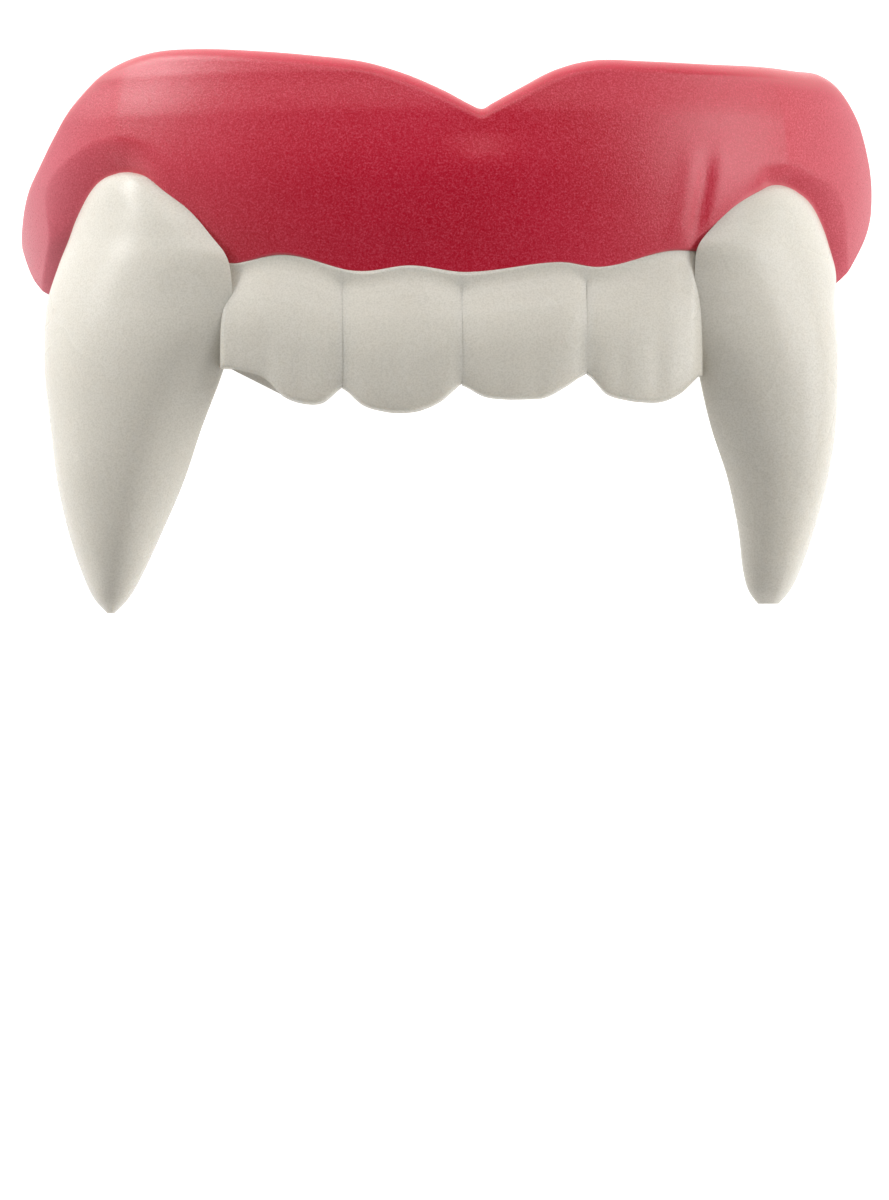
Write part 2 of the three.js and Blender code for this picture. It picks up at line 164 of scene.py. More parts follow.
# Fangs from the top of the root to the tip. drop: share of the length. outer and inner: edges, as shares
# of the width from the side of the incisors. front and back: shares of the bulge and of the back.
# follow: how closely the section follows the arch's turn. flank: how gently the inner side slopes, and
# foot: the share of the bulge from which it rises. square: how square the outer side is, where 2 is an oval.
FANG_COLUMNS = "drop outer inner front back follow flank foot square"
FANG_LEFT_SECTIONS = table(FANG_COLUMNS, [
    (0.000, 0.590, 0.525, 0.08, 0.30, 1.00, 0.9, 0.10, 2.0),
    (0.012, 0.678, 0.452, 0.28, 0.36, 1.00, 0.9, 0.30, 2.0),
    (0.040, 0.751, 0.366, 0.41, 0.36, 1.00, 0.9, 0.35, 2.0),
    (0.096, 0.827, 0.214, 0.54, 0.36, 0.96, 0.9, 0.38, 2.0),
    (0.150, 0.877, 0.108, 0.64, 0.36, 0.88, 0.9, 0.43, 2.1),
    (0.205, 0.930, 0.020, 0.74, 0.38, 0.78, 0.9, 0.50, 2.2),
    (0.285, 0.990, 0.000, 0.85, 0.50, 0.64, 0.9, 0.60, 2.3),
    (0.370, 1.004, 0.000, 0.94, 0.66, 0.52, 0.9, 0.58, 2.3),
    (0.460, 1.000, 0.048, 0.99, 0.84, 0.44, 0.9, 0.36, 2.3),
    (0.580, 0.965, 0.144, 1.00, 1.00, 0.38, 0.7, 0.12, 2.3),
    (0.700, 0.929, 0.234, 0.95, 0.94, 0.34, 0.5, 0.00, 2.4),
    (0.820, 0.865, 0.358, 0.82, 0.74, 0.34, 0.3, 0.00, 2.2),
    (0.910, 0.792, 0.458, 0.60, 0.50, 0.34, 0.1, 0.00, 2.0),
    (0.965, 0.730, 0.534, 0.38, 0.30, 0.34, 0.0, 0.00, 2.0),
    (1.000, 0.655, 0.615, 0.08, 0.08, 0.34, 0.0, 0.00, 2.0),
])
FANG_RIGHT_SECTIONS = table(FANG_COLUMNS, [
    (0.000, 0.600, 0.460, 0.08, 0.30, 1.00, 0.9, 0.10, 2.2),
    (0.012, 0.690, 0.426, 0.24, 0.36, 1.00, 0.9, 0.30, 2.2),
    (0.040, 0.800, 0.302, 0.40, 0.36, 1.00, 0.9, 0.35, 2.3),
    (0.090, 0.885, 0.162, 0.55, 0.36, 0.94, 0.9, 0.36, 2.5),
    (0.150, 0.945, 0.025, 0.68, 0.36, 0.84, 0.9, 0.44, 2.8),
    (0.210, 0.985, 0.000, 0.78, 0.38, 0.72, 1.0, 0.46, 3.0),
    (0.285, 0.972, 0.000, 0.88, 0.50, 0.60, 1.1, 0.50, 3.2),
    (0.370, 0.990, 0.000, 0.96, 0.66, 0.50, 1.1, 0.48, 3.4),
    (0.460, 0.990, 0.024, 1.00, 0.84, 0.42, 0.9, 0.28, 3.4),
    (0.580, 0.973, 0.090, 0.98, 1.00, 0.38, 0.7, 0.06, 3.2),
    (0.700, 0.918, 0.202, 0.92, 0.94, 0.34, 0.5, 0.00, 2.8),
    (0.820, 0.823, 0.276, 0.80, 0.76, 0.34, 0.3, 0.00, 2.4),
    (0.910, 0.730, 0.306, 0.64, 0.58, 0.34, 0.1, 0.00, 2.2),
    (0.965, 0.652, 0.345, 0.42, 0.42, 0.34, 0.0, 0.00, 2.0),
    (1.000, 0.565, 0.415, 0.14, 0.14, 0.34, 0.0, 0.00, 2.0),
])
FANG_BACK_SQUARENESS = 2.4
FANG_OVERLAP = 0.78  # how far a fang reaches into the next crown, for a whole share of foot

# Side view of an incisor below its shoulder. drop: share of its height. front and back: shares of its
# bulge and of its back.
CROWN_PROFILE = table("drop front back", [
    (0.00, 0.10, 1.04),
    (0.03, 0.11, 1.04),
    (0.07, 0.16, 1.04),
    (0.12, 0.26, 1.04),
    (0.18, 0.39, 1.04),
    (0.25, 0.53, 1.04),
    (0.32, 0.67, 1.04),
    (0.40, 0.80, 1.04),
    (0.48, 0.90, 1.04),
    (0.56, 0.97, 1.02),
    (0.64, 1.00, 0.98),
    (0.74, 1.00, 0.92),
    (0.84, 0.98, 0.80),
    (0.92, 0.93, 0.64),
    (0.97, 0.87, 0.46),
    (0.99, 0.76, 0.32),
    (1.00, 0.60, 0.16),
])

# Incisors from left to right. foot and crest: the low and the high point of the gum line over the crown,
# each as its place across the crown and its height, a share of the crown's. edges: the biting edge at
# even steps, as shares of the crown's height. shoulder: collar below the gum line at the left, the
# middle and the right, in millimetres. dents: places of the shallow dents, across the crown. pillow: how
# much of CROWN_PILLOW its left and its right side take.
INCISORS = [
    dict(name="incisor_left_lateral", width=LATERAL_LEFT_WIDTH, foot=(0.03, 0.046), crest=(0.48, 0.110),
         edges=(0.680, 0.705, 0.755, 0.880, 0.930, 0.925, 0.820),
         shoulder=(0.25, 0.10, 0.80), dents=(0.36, 0.66), pillow=(0.2, 1.0)),
    dict(name="incisor_left_central", width=CENTRAL_LEFT_WIDTH, foot=(0.18, -0.028), crest=(0.56, 0.017),
         edges=(0.828, 0.942, 0.986, 0.998, 0.978, 0.912, 0.795),
         shoulder=(0.75, 0.05, 0.80), dents=(0.42, 0.70), pillow=(1.0, 1.0)),
    dict(name="incisor_right_central", width=CENTRAL_RIGHT_WIDTH, foot=(0.03, -0.038), crest=(0.80, 0.047),
         edges=(0.808, 0.882, 0.903, 0.903, 0.890, 0.812, 0.720),
         shoulder=(0.70, 0.05, 0.90), dents=(0.32, 0.60), pillow=(1.0, 1.0)),
    dict(name="incisor_right_lateral", width=LATERAL_RIGHT_WIDTH, foot=(0.09, 0.014), crest=(0.80, 0.152),
         edges=(0.728, 0.860, 0.902, 0.918, 0.912, 0.848, 0.725),
         shoulder=(0.70, 0.05, 0.00), dents=(0.30, 0.62), pillow=(1.0, 0.6)),
]
LAST_NECK = 0.150
OUTER_NECKS = (-0.105, -0.060)

INCISOR_ROW = sum(tooth["width"] for tooth in INCISORS)
ARCH_HALF_WIDTH = (WING_LEFT + FANG_LEFT_WIDTH + INCISOR_ROW + FANG_RIGHT_WIDTH + WING_RIGHT) / 2
FIRST_INCISOR = WING_LEFT + FANG_LEFT_WIDTH - ARCH_HALF_WIDTH
LAST_INCISOR = FIRST_INCISOR + INCISOR_ROW

# root: height of the root's top. band: width of the slope from the gum down to the root, above the root
# and low at its outer side, and its depth. crest: place of a section's highest point, from its middle, 0,
# to its outer edge, 1.
FANGS = [
    dict(name="fang_left", side=-1, start=FIRST_INCISOR, width=FANG_LEFT_WIDTH,
         root=6.58, length=28.38, sections=FANG_LEFT_SECTIONS, band=(2.2, 0.9, 0.95), crest=0.0),
    dict(name="fang_right", side=1, start=LAST_INCISOR, width=FANG_RIGHT_WIDTH,
         root=5.8, length=27.0, sections=FANG_RIGHT_SECTIONS, band=(1.4, 0.9, 0.60), crest=0.3),
]
BAND_KNEE = 1.25  # how softly the slope starts: 1 is a sharp edge
BAND_INNER_SHARE = 0.15  # of its depth at the side of the incisors
BAND_OUTER = (0.25, 0.60)  # shares of the fang's width between which it comes to its whole depth
BAND_RISE = (0.3, 1.0)  # shares of the root's height between which it comes to its width above
FOLD_LEAN_FROM = 0.3  # share of the gum's height where a leaning fold keeps its own place
CREASE_CURVE = 1.3  # how softly the dip past a crease starts
FADE_FROM = 0.4  # share of the way to its limits where a fade begins
FAR = 99.0  # millimetres, more than any size of the part

# Mesh steps
GUM_STATION_STEPS = 15
GUM_FRONT_POINTS = 96
GUM_BACK_POINTS = 32
FANG_RINGS_EACH = 12
FANG_AROUND = 120
CROWN_ACROSS = 90
CROWN_ROWS = 150
TRAY_STATIONS = 181
TRAY_CORNER_POINTS = 6
ROOT_POINTS = 60
ROOT_LAST_ROW = 7  # of a fang's sections, the last that the gum reaches
SHARP_CORNER = 50.0  # degrees from which a corner of the crowns and the tray is shaded as an edge
SHARP_RIM = 60.0  # the same on the gum and the fangs

# The frame's tray says where the mouth's frame lies in the row
tray_low, tray_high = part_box("bite_tray")
SHIFT_X = (tray_low.x + tray_high.x) / 2
SHIFT_Y = tray_low.y + TRAY_UNDERSIDE / 1000


def place(x, y, z):
    """Points of the mouth's frame, in millimetres, as points of the row, in metres."""
    return np.stack([x / 1000 + SHIFT_X, z / 1000 + SHIFT_Y, (TRAY_DEPTH - y) / 1000], axis=-1)


# Curves and sections

def curve(values, places):
    """A smooth curve through evenly spaced values, read at places between them."""
    values = np.asarray(values, float)
    last = len(values) - 1
    start = np.clip(np.floor(places).astype(int), 0, last - 1)
    t = np.asarray(places, float) - start
    a, b, c, d = (values[np.clip(start + step, 0, last)] for step in (-1, 0, 1, 2))
    return b + ((c - a) * t + (2 * a - 5 * b + 4 * c - d) * t**2 + (3 * b - a - 3 * c + d) * t**3) / 2


def rows_at(rows, count, last=None):
    """A table's rows joined by smooth curves, as columns of count values, down to one of its rows."""
    last = len(rows["drop" if "drop" in rows else "along"]) - 1 if last is None else last
    places = np.linspace(0, last, count)
    return {name: curve(values, places)[:, None] for name, values in rows.items()}


def read(rows, key, value, wanted):
    """A column of a table at values of another column."""
    places = np.interp(value, rows[key], np.arange(len(rows[key])))
    return curve(rows[wanted], places)


def power(value, exponent):
    return np.sign(value) * np.abs(value) ** exponent


def smoothstep(value, low, high):
    t = np.clip((value - low) / (high - low), 0, 1)
    return t * t * (3 - 2 * t)


def bump(value, middle, reach):
    return np.exp(-(((value - middle) / reach) ** 2))


def fade_between(value, low, high):
    """1 in the middle between two values, and 0 at and outside them."""
    return 1 - smoothstep(np.abs(value - (low + high) / 2) / ((high - low) / 2), FADE_FROM, 1)


def on_arch(share, out, height):
    turn = share * math.pi / 2
    x = (ARCH_HALF_WIDTH + out) * np.sin(turn)
    y = ARCH_DEPTH - (ARCH_DEPTH + out) * np.cos(turn)
    return np.stack(np.broadcast_arrays(x, y, height), axis=-1)


def arch_back(x, out=0.0):
    """How far back the arch, moved out, lies at a place across the front."""
    share = np.minimum(np.abs(x) / (ARCH_HALF_WIDTH + out), 1)
    return ARCH_DEPTH - (ARCH_DEPTH + out) * np.sqrt(1 - share**2)


def gum_line(x):
    """The gum line: level at its low and high points over each crown, and smooth between them."""
    knots = [(FIRST_INCISOR - FANG_LEFT_WIDTH, OUTER_NECKS[0])]
    start = FIRST_INCISOR
    for tooth in INCISORS:
        for share, neck in (tooth["foot"], tooth["crest"]):
            knots.append((start + tooth["width"] * share, neck))
        start += tooth["width"]
    knots += [(LAST_INCISOR, LAST_NECK), (LAST_INCISOR + FANG_RIGHT_WIDTH, OUTER_NECKS[1])]
    places, necks = (np.array(column) for column in zip(*knots))
    index = np.clip(np.searchsorted(places, x) - 1, 0, len(places) - 2)
    share = smoothstep((x - places[index]) / (places[index + 1] - places[index]), 0, 1)
    return CROWN_HEIGHT * (necks[index] + (necks[index + 1] - necks[index]) * share)


def root_distance(fang, x, height):
    """Distance in front view from places on the gum to the outline of a fang's root, and 0 inside it."""
    row = rows_at(fang["sections"], ROOT_POINTS, last=ROOT_LAST_ROW)
    level = fang["root"] - fang["length"] * row["drop"][:, 0]
    width = fang["side"] * fang["width"]
    inner, outer = (fang["start"] + width * row[edge][:, 0] for edge in ("inner", "outer"))
    line_x = np.concatenate([inner[::-1], outer])
    line_z = np.concatenate([level[::-1], level])
    nearest = np.full(x.shape, FAR)
    for ax, az, bx, bz in zip(line_x[:-1], line_z[:-1], line_x[1:], line_z[1:]):
        step_x, step_z = bx - ax, bz - az
        t = np.clip(((x - ax) * step_x + (height - az) * step_z) / (step_x**2 + step_z**2), 0, 1)
        nearest = np.minimum(nearest, np.hypot(x - ax - t * step_x, height - az - t * step_z))
    inner_x, outer_x = (np.interp(height, level[::-1], edge[::-1]) for edge in (inner, outer))
    inside = (height < fang["root"]) & ((x - inner_x) * (x - outer_x) < 0)
    return np.where(inside, 0, nearest)


# Meshes

def mesh_object(name, points, node, sharp=SHARP_CORNER, layers=None):
    """A closed smooth mesh through rings of points, which rides on the root and stands for a CAD node."""
    rings, count = points.shape[:2]
    first = np.arange(count)
    side = np.stack([first, (first + 1) % count, (first + 1) % count + count, first + count], axis=-1)
    faces = (side[None] + count * np.arange(rings - 1)[:, None, None]).reshape(-1, 4).tolist()
    faces += [first[::-1].tolist(), (first + (rings - 1) * count).tolist()]
    mesh = bpy.data.meshes.new(name)
    mesh.from_pydata(points.reshape(-1, 3).tolist(), [], faces)
    mesh.validate()
    for layer, values in (layers or {}).items():
        attribute = mesh.attributes.new(layer, "FLOAT", "POINT")
        attribute.data.foreach_set("value", values.reshape(-1).astype(np.float32))
    piece = bpy.data.objects.new(name, mesh)
    bpy.context.collection.objects.link(piece)
    mesh.shade_smooth()
    mesh.set_sharp_from_angle(angle=math.radians(sharp))
    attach(piece, "root")
    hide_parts(node)
    return piece


def rounding(distance, radius):
    """How far a face falls back towards an edge that is rounded to a radius."""
    near = np.clip(1 - distance / radius, 0, 1)
    return radius * (1 - np.sqrt(1 - near**2))


def gum_relief(share, height, x):
    """Folds, creases and the slopes round the roots, as how far the gum's face stands out."""
    level = height / GUM_HEIGHT
    relief = np.zeros_like(height)
    for fold in GUM_FOLDS:
        near = bump(share - fold["lean"] * (level - FOLD_LEAN_FROM), fold["along"], fold["reach"])
        relief += fold["depth"] * near * fade_between(level, fold["low"], fold["high"])
    for crease in GUM_CREASES:
        past = np.maximum(share * crease["side"] - crease["along"], 0) * ARCH_HALF_WIDTH / crease["width"]
        dip = past**CREASE_CURVE * np.exp(CREASE_CURVE * (1 - past))
        relief -= crease["depth"] * dip * fade_between(level, crease["low"], crease["high"])
    for fang in FANGS:
        away = root_distance(fang, x, height)
        outward = fang["side"] * (x - fang["start"]) / fang["width"]
        outer = smoothstep(outward, *BAND_OUTER)
        above, beside, deep = fang["band"]
        band = beside + (above - beside) * smoothstep(height / fang["root"], *BAND_RISE)
        depth = deep * (BAND_INNER_SHARE + (1 - BAND_INNER_SHARE) * outer)
        relief -= depth * np.clip(1 - away / band, 0, 1) ** BAND_KNEE
    return relief


def make_gum():
    """The painted gum: a wall round the arch with a full face, folds and round rims."""
    row = rows_at(GUM_SECTIONS, (len(GUM_SECTIONS["along"]) - 1) * GUM_STATION_STEPS + 1)
    share = row["along"]
    x_arch = on_arch(share, 0.0, 0.0)[..., 0]
    over_teeth = (x_arch > FIRST_INCISOR - FANG_LEFT_WIDTH) & (x_arch < LAST_INCISOR + FANG_RIGHT_WIDTH)
    low = np.where(over_teeth, gum_line(x_arch), GUM_HEIGHT * row["low"])
    high = GUM_HEIGHT * row["high"]

    def face(count, front):
        step = (1 - np.cos(np.linspace(0, math.pi, count)))[None, :] / 2
        height = low + (high - low) * step
        stand = GUM_BULGE * read(GUM_PROFILE, "height", height / GUM_HEIGHT, "stand")
        fall = np.maximum(rounding(high - height, GUM_TOP_ROUND), rounding(height - low, GUM_LOW_ROUND))
        relief = gum_relief(share, height, x_arch + 0 * height)
        out = stand + relief - fall if front else stand - GUM_WALL + np.minimum(fall, GUM_BACK_ROUND)
        return on_arch(share, out, height), high - height, height - low + FAR * ~over_teeth

    back, front = face(GUM_BACK_POINTS, False), face(GUM_FRONT_POINTS, True)
    ring, rim, line = (np.concatenate([b, f[:, ::-1]], axis=1) for b, f in zip(back, front))
    painted = np.concatenate([np.zeros_like(back[1]), np.ones_like(front[1])], axis=1)
    # Painted sheen: the paint is paled towards the arch's ends for the grazing reflection on them.
    painted_wing_sheen = smoothstep(np.abs(share), *PAINTED_SHEEN_SPAN) * np.where(share > 0, PAINTED_SHEEN_RIGHT, 1)
    painted_wing_sheen = painted_wing_sheen + np.zeros_like(ring[..., 0])
    # The rim's pale band, worn paint and partly a painted highlight, is kept back from the arch's middle.
    rim = rim + RIM_KEPT_DEPTH * (1 - smoothstep(np.abs(share), *RIM_KEPT))
    x, y, z = np.moveaxis(ring, -1, 0)
    for fang in FANGS:
        line = np.minimum(line, root_distance(fang, x, z))
    layers = dict(painted=painted, rim=rim, line=line, painted_wing_sheen=painted_wing_sheen)
    return mesh_object("gum", place(x, y, z), "gum_plate", SHARP_RIM, layers)


def make_fang(fang):
    """A fang as a stack of level sections, which stay in front of the bite tray."""
    side, width, sections = fang["side"], fang["width"], fang["sections"]
    row = rows_at(sections, (len(sections["drop"]) - 1) * FANG_RINGS_EACH + 1)
    angle = np.linspace(0, 2 * math.pi, FANG_AROUND, endpoint=False)[None, ::side]
    across = power(np.cos(angle), 2 / FANG_BACK_SQUARENESS)
    outer_edge = width * row["outer"]
    inner_edge = width * row["inner"] - FANG_OVERLAP * np.maximum(row["foot"], 0)
    middle = fang["start"] + side * (outer_edge + inner_edge) / 2
    x = middle + side * (outer_edge - inner_edge) / 2 * across
    crest = fang["crest"]
    aside = np.where(across > crest, (across - crest) / (1 - crest), (crest - across) / (1 + crest))
    outer = (1 - aside ** row["square"]) ** (1 / row["square"])
    inner = row["foot"] + (1 - row["foot"]) * (1 - aside**2) ** (0.5 + 0.5 * row["flank"])
    behind = (1 - np.abs(across) ** FANG_BACK_SQUARENESS) ** (1 / FANG_BACK_SQUARENESS)
    front = FANG_BULGE * row["front"] * np.where(across > crest, outer, inner)
    forward = np.where(np.sin(angle) > 0, front, -FANG_BACK * row["back"] * behind)
    base = arch_back(middle) + (arch_back(x) - arch_back(middle)) * row["follow"]
    y = np.minimum(base - forward, arch_back(x, -GUM_WALL - CLEARANCE))
    height = fang["root"] - fang["length"] * row["drop"] + 0 * x
    return mesh_object(fang["name"] + "_tooth", place(x, y, height), fang["name"], SHARP_RIM)


def make_crown(tooth, start):
    """An incisor's crown: a collar, a shoulder, a full face with a valley at each side, and a round edge."""
    width = tooth["width"]
    left = -CROWN_OVERLAP[0] if tooth is INCISORS[0] else 0.0
    right = width + (CROWN_OVERLAP[1] if tooth is INCISORS[-1] else 0.0)
    inside = np.linspace(left, right, CROWN_ACROSS + 1)[None, :]
    share = np.clip(inside / width, 0, 1)
    x = start + inside
    neck = gum_line(x)
    edge = -CROWN_HEIGHT * curve(tooth["edges"], share * (len(tooth["edges"]) - 1))
    step = np.linspace(0, 1, CROWN_ROWS)[:, None]
    below = -CROWN_HIDDEN + (neck - edge + CROWN_HIDDEN) * (1 - np.cos(step * math.pi)) / 2
    shoulder_left, shoulder_middle, shoulder_right = tooth["shoulder"]
    corner = np.where(share < 0.5, shoulder_left, shoulder_right) - shoulder_middle
    shoulder = shoulder_middle + corner * np.abs(2 * share - 1) ** COLLAR_CORNER
    drop = np.clip((below - shoulder) / (neck - edge - shoulder), 0, 1)
    front, back = (read(CROWN_PROFILE, "drop", drop, column) for column in ("front", "back"))
    aside = np.abs(2 * share - 1)
    aside = aside - np.maximum(aside - 1 + CROWN_FILLET, 0) ** 2 / CROWN_FILLET / 2
    pillow = CROWN_PILLOW * np.where(share < 0.5, *tooth["pillow"])
    full = 1 - pillow * aside ** np.where(share < 0.5, *CROWN_SIDES)
    dents = sum(bump(share, dent, DENT_REACH) for dent in tooth["dents"]) * smoothstep(drop, *DENT_DROP)
    sides = rounding(inside - left, CROWN_ROUND[0]) if left < 0 else 0
    sides += rounding(right - inside, CROWN_ROUND[1]) if right > width else 0
    face = CROWN_BULGE * front * full - CROWN_DENT * dents - sides
    front_y = arch_back(x) - face - HIDDEN_SLOPE * np.minimum(below, 0)
    back_y = arch_back(x) + GUM_WALL * back
    height = neck - below
    front_side, back_side = (np.stack([x + 0 * height, y, height], axis=-1) for y in (front_y, back_y))
    ring = np.concatenate([front_side, back_side[:, ::-1]], axis=1)
    points = place(*np.moveaxis(ring, -1, 0))[:, ::-1]
    return mesh_object(tooth["name"] + "_tooth", points, tooth["name"])


def make_tray():
    """The bite channel behind the gum, with every edge rounded."""
    face = -GUM_WALL - CLEARANCE / 2
    floor, shelf = -TRAY_UNDERSIDE, TRAY_WALL - TRAY_UNDERSIDE
    front, back = -GUM_WALL - CLEARANCE - TRAY_WALL, -GUM_WALL - CLEARANCE - TRAY_WALL - TRAY_CHANNEL
    corners = np.array([
        (back - TRAY_WALL, floor), (back - TRAY_WALL, TRAY_BACK_TOP), (back, TRAY_BACK_TOP), (back, shelf),
        (front, shelf), (front, TRAY_FRONT_TOP), (face, TRAY_FRONT_TOP), (face, floor),
    ])
    outline = []
    for before, here, after in zip(np.roll(corners, 1, axis=0), corners, np.roll(corners, -1, axis=0)):
        ways = [(other - here) / np.linalg.norm(other - here) for other in (before, after)]
        start, end = (here + way * TRAY_ROUND for way in ways)
        for t in np.linspace(0, 1, TRAY_CORNER_POINTS):
            outline.append(start * (1 - t) ** 2 + here * 2 * t * (1 - t) + end * t**2)
    outline = np.array(outline)
    ring = on_arch(np.linspace(-1, 1, TRAY_STATIONS)[:, None], outline[None, :, 0], outline[None, :, 1])
    ring = ring[[0, *range(TRAY_STATIONS), -1]]
    ring[[0, -1], :, 1] = TRAY_DEPTH
    return mesh_object("bite_channel", place(*np.moveaxis(ring, -1, 0)), "bite_tray")


gum = make_gum()
tray = make_tray()
fangs = [make_fang(fang) for fang in FANGS]
crowns = []
start = FIRST_INCISOR
for tooth in INCISORS:
    crowns.append(make_crown(tooth, start))
    start += tooth["width"]


# Materials. Colours are given as they show on a screen, from 0 to 255.

TOOTH_COLOURS = ((211, 206, 194), (214, 210, 200))  # in its clouds
TOOTH_SPECK = (199, 194, 182)
TOOTH_CLOUD_SCALE = 160
TOOTH_GRAIN_SCALE = 9000
TOOTH_ROUGHNESS = (0.24, 0.30)
GUM_COLOURS = ((179, 18, 41), (185, 23, 49))  # in its clouds
GUM_SPECK = (212, 72, 92)
GUM_PAINTED_SHEEN = (200, 120, 132)  # painted sheen: paler paint on the arch's ends for their grazing reflection
GUM_RIM = (226, 150, 146)  # where the rim is worn, partly a painted highlight along its rounded edge
GUM_LINE_EDGE_AND_GLINT = (232, 150, 150)  # beside the teeth: the paint's pale edge, and a painted glint along the junction
GUM_BARE = (214, 211, 200)
GUM_CLOUD_SCALE = 120
GUM_GRAIN_SCALE = 8500
GUM_ROUGHNESS = (0.26, 0.38)
RAGGED = 2.2  # millimetres by which the grain shifts the rim's border
LINE_RAGGED = 0.3  # share of that for the line beside the teeth
PAINTED_SHEEN_SHARE = 0.45
RIM_REACH, RIM_SHARE = (0.05, 1.40), 0.42  # millimetres from the edge, and the share of colour at it
LINE_REACH, LINE_SHARE = (0.02, 0.20), 0.25


def new_material(name):
    material = bpy.data.materials.new(name)
    material.use_nodes = True
    nodes = material.node_tree.nodes
    return material, nodes, material.node_tree.links, nodes["Principled BSDF"]


def set_inputs(node, values):
    for name, value in values.items():
        node.inputs[name].default_value = value


def linear(red, green, blue):
    """A screen's colour as linear light."""
    channels = [value / 255 for value in (red, green, blue)]
    return tuple(c / 12.92 if c <= 0.04045 else ((c + 0.055) / 1.055) ** 2.4 for c in channels) + (1.0,)


def add_noise(nodes, links, coordinates, scale, detail, roughness=0.5):
    noise = nodes.new("ShaderNodeTexNoise")
    set_inputs(noise, {"Scale": scale, "Detail": detail, "Roughness": roughness})
    links.new(coordinates, noise.inputs["Vector"])
    return noise.outputs["Fac"]


def add_range(nodes, links, value, low, high, to_low=0.0, to_high=1.0):
    ranger = nodes.new("ShaderNodeMapRange")
    set_inputs(ranger, {"From Min": low, "From Max": high, "To Min": to_low, "To Max": to_high})
    links.new(value, ranger.inputs["Value"])
    return ranger.outputs["Result"]


def add_mix(nodes, links, share, first, second):
    """A mix of two colours, each given for a screen or as a socket."""
    mix = nodes.new("ShaderNodeMix")
    mix.data_type = "RGBA"
    links.new(share, mix.inputs["Factor"])
    for socket, colour in ((mix.inputs["A"], first), (mix.inputs["B"], second)):
        if isinstance(colour, tuple):
            socket.default_value = linear(*colour)
        else:
            links.new(colour, socket)
    return mix.outputs["Result"]


def add_math(nodes, links, operation, first, second):
    node = nodes.new("ShaderNodeMath")
    node.operation = operation
    for socket, value in zip(node.inputs, (first, second)):
        if isinstance(value, (int, float)):
            socket.default_value = value
        else:
            links.new(value, socket)
    return node.outputs["Value"]


def add_bump(nodes, links, shader, height, strength, distance):
    bump_node = nodes.new("ShaderNodeBump")
    set_inputs(bump_node, {"Strength": strength, "Distance": distance})
    links.new(height, bump_node.inputs["Height"])
    links.new(bump_node.outputs["Normal"], shader.inputs["Normal"])


def tooth_material():
    material, nodes, links, shader = new_material("tooth_plastic")
    coordinates = nodes.new("ShaderNodeTexCoord").outputs["Object"]
    cloud = add_noise(nodes, links, coordinates, TOOTH_CLOUD_SCALE, 2)
    grain = add_noise(nodes, links, coordinates, TOOTH_GRAIN_SCALE, 2)
    base = add_mix(nodes, links, add_range(nodes, links, cloud, 0.2, 0.8), *TOOTH_COLOURS)
    speck = add_mix(nodes, links, add_range(nodes, links, grain, 0.30, 0.62), TOOTH_SPECK, base)
    links.new(speck, shader.inputs["Base Color"])
    links.new(add_range(nodes, links, cloud, 0.2, 0.8, *TOOTH_ROUGHNESS), shader.inputs["Roughness"])
    set_inputs(shader, {
        "IOR": 1.50,
        "Specular IOR Level": 0.3,
        "Subsurface Weight": 0.2,
        "Subsurface Radius": (1.0, 0.8, 0.6),
        "Subsurface Scale": 0.0015,
    })
    add_bump(nodes, links, shader, grain, 0.15, 0.00002)
    return material


def gum_material():
    material, nodes, links, shader = new_material("gum_paint")
    coordinates = nodes.new("ShaderNodeTexCoord").outputs["Object"]

    def layer(name):
        attribute = nodes.new("ShaderNodeAttribute")
        attribute.attribute_name = name
        return attribute.outputs["Fac"]

    cloud = add_noise(nodes, links, coordinates, GUM_CLOUD_SCALE, 3)
    grain = add_noise(nodes, links, coordinates, GUM_GRAIN_SCALE, 3, 0.7)
    red = add_mix(nodes, links, add_range(nodes, links, cloud, 0.35, 0.65), *GUM_COLOURS)
    speckled = add_mix(nodes, links, add_range(nodes, links, grain, 0.46, 0.72), red, GUM_SPECK)
    # Painted sheen on the arch's ends, as paler paint.
    painted_sheen_share = add_range(nodes, links, layer("painted_wing_sheen"), 0.0, 1.0, 0.0, PAINTED_SHEEN_SHARE)
    with_painted_sheen = add_mix(nodes, links, painted_sheen_share, speckled, GUM_PAINTED_SHEEN)
    # The rim's pale band: worn paint, partly a painted highlight on the rounded top edge.
    ragged = add_math(nodes, links, "MULTIPLY", add_math(nodes, links, "SUBTRACT", grain, 0.5), RAGGED)
    rim = add_math(nodes, links, "ADD", layer("rim"), ragged)
    rim_share = add_range(nodes, links, rim, *RIM_REACH, RIM_SHARE, 0.0)
    worn_and_lit_rim = add_mix(nodes, links, rim_share, with_painted_sheen, GUM_RIM)
    # The pale line beside the teeth is partly the paint's edge and partly a painted glint along the
    # junction.
    line = add_math(nodes, links, "ADD", layer("line"),
                    add_math(nodes, links, "MULTIPLY", ragged, LINE_RAGGED))
    line_share = add_range(nodes, links, line, *LINE_REACH, LINE_SHARE, 0.0)
    lined = add_mix(nodes, links, line_share, worn_and_lit_rim, GUM_LINE_EDGE_AND_GLINT)
    bare = add_mix(nodes, links, layer("painted"), GUM_BARE, lined)
    links.new(bare, shader.inputs["Base Color"])
    links.new(add_range(nodes, links, grain, 0.3, 0.7, *GUM_ROUGHNESS), shader.inputs["Roughness"])
    set_inputs(shader, {"IOR": 1.50, "Specular IOR Level": 0.55})
    add_bump(nodes, links, shader, grain, 0.35, 0.00005)
    return material


tooth_look = tooth_material()
for piece in [tray, *fangs, *crowns]:
    piece.data.materials.append(tooth_look)
gum.data.materials.append(gum_material())


# Stage, light and camera

FLOOR_SIDE = 6.0
FLOOR_GLOW = 0.58
WHITE = (1.0, 1.0, 1.0, 1.0)
bpy.ops.mesh.primitive_plane_add(size=FLOOR_SIDE)
floor = bpy.context.object
floor.name = "floor"
floor_look, _, _, floor_shader = new_material("floor_paper")
set_inputs(floor_shader, {
    "Base Color": (0.93, 0.93, 0.93, 1.0),
    "Roughness": 0.9,
    "Emission Color": WHITE,
    "Emission Strength": FLOOR_GLOW,
})
floor.data.materials.append(floor_look)

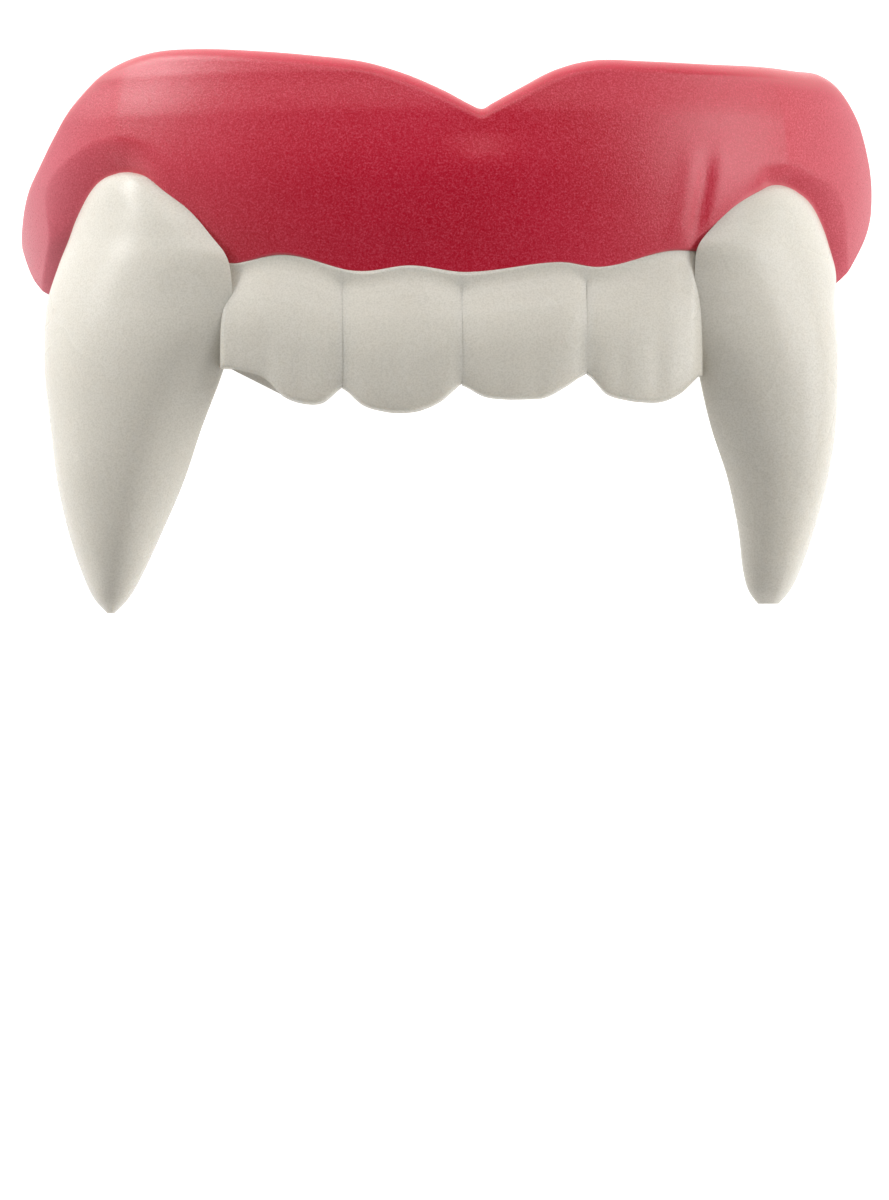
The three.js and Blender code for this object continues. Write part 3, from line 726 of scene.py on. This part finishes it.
# The studio is white all round and dark overhead. From and below: heights of a direction, where 1 is up.
SKY_STRENGTH = 0.83
SKY_DARK_FROM = 0.85
SKY_FULL_BELOW = 0.55
world = bpy.data.worlds.new("studio")
bpy.context.scene.world = world
world.use_nodes = True
sky, sky_links = world.node_tree.nodes, world.node_tree.links
sky_way = sky.new("ShaderNodeSeparateXYZ")
sky_links.new(sky.new("ShaderNodeTexCoord").outputs["Generated"], sky_way.inputs["Vector"])
sky_light = add_range(
    sky, sky_links, sky_way.outputs["Z"], SKY_DARK_FROM, SKY_FULL_BELOW, 0.0, SKY_STRENGTH)
sky_links.new(sky_light, sky["Background"].inputs["Strength"])
set_inputs(sky["Background"], {"Color": WHITE})

# Softboxes round the middle of the part. turn: degrees from the gum's side towards the right. tilt:
# degrees from straight up. size: metres across and along the way to the part, as seen from above.
MIDDLE = Vector((0.0, 0.0, 0.018))
LIGHT_DISTANCE = 0.5
SOFTBOXES = [
    dict(name="softbox_left", turn=-50, tilt=83, size=(0.30, 0.13), watts=1.60),
    dict(name="softbox_right", turn=79, tilt=66, size=(0.34, 0.30), watts=1.30),
    dict(name="softbox_top", turn=0, tilt=50, size=(0.50, 0.20), watts=0.70),
]


def add_softbox(name, turn, tilt, size, watts):
    light = bpy.data.lights.new(name, "AREA")
    light.shape = "RECTANGLE"
    light.size, light.size_y = size
    light.energy = watts
    lamp = bpy.data.objects.new(name, light)
    bpy.context.collection.objects.link(lamp)
    turn, tilt = math.radians(turn), math.radians(tilt)
    way = Vector((math.sin(tilt) * math.sin(turn), math.sin(tilt) * math.cos(turn), math.cos(tilt)))
    lamp.location = MIDDLE + LIGHT_DISTANCE * way
    lamp.rotation_euler = way.to_track_quat("Z", "Y").to_euler()


for softbox in SOFTBOXES:
    add_softbox(**softbox)

# The camera looks straight down, as over a table, from as far as the photograph's even view suggests
MM_PER_PIXEL = 0.0635
PHOTO_HEIGHT = 1200
CAMERA_DISTANCE = 450.0
CAMERA_X = -0.22
CAMERA_BELOW_GUM_LINE = 20.955
CAMERA_CLIP = (0.01, 20.0)  # metres
camera_data = bpy.data.cameras.new("camera")
camera_data.lens = camera_data.sensor_width * CAMERA_DISTANCE / (PHOTO_HEIGHT * MM_PER_PIXEL)
camera_data.clip_start, camera_data.clip_end = CAMERA_CLIP
camera = bpy.data.objects.new("camera", camera_data)
bpy.context.collection.objects.link(camera)
camera_spot = np.array([CAMERA_X, -CAMERA_DISTANCE, -CAMERA_BELOW_GUM_LINE])
camera.location = place(*camera_spot)
bpy.context.scene.camera = camera
bpy.context.scene.view_settings.view_transform = "Standard"
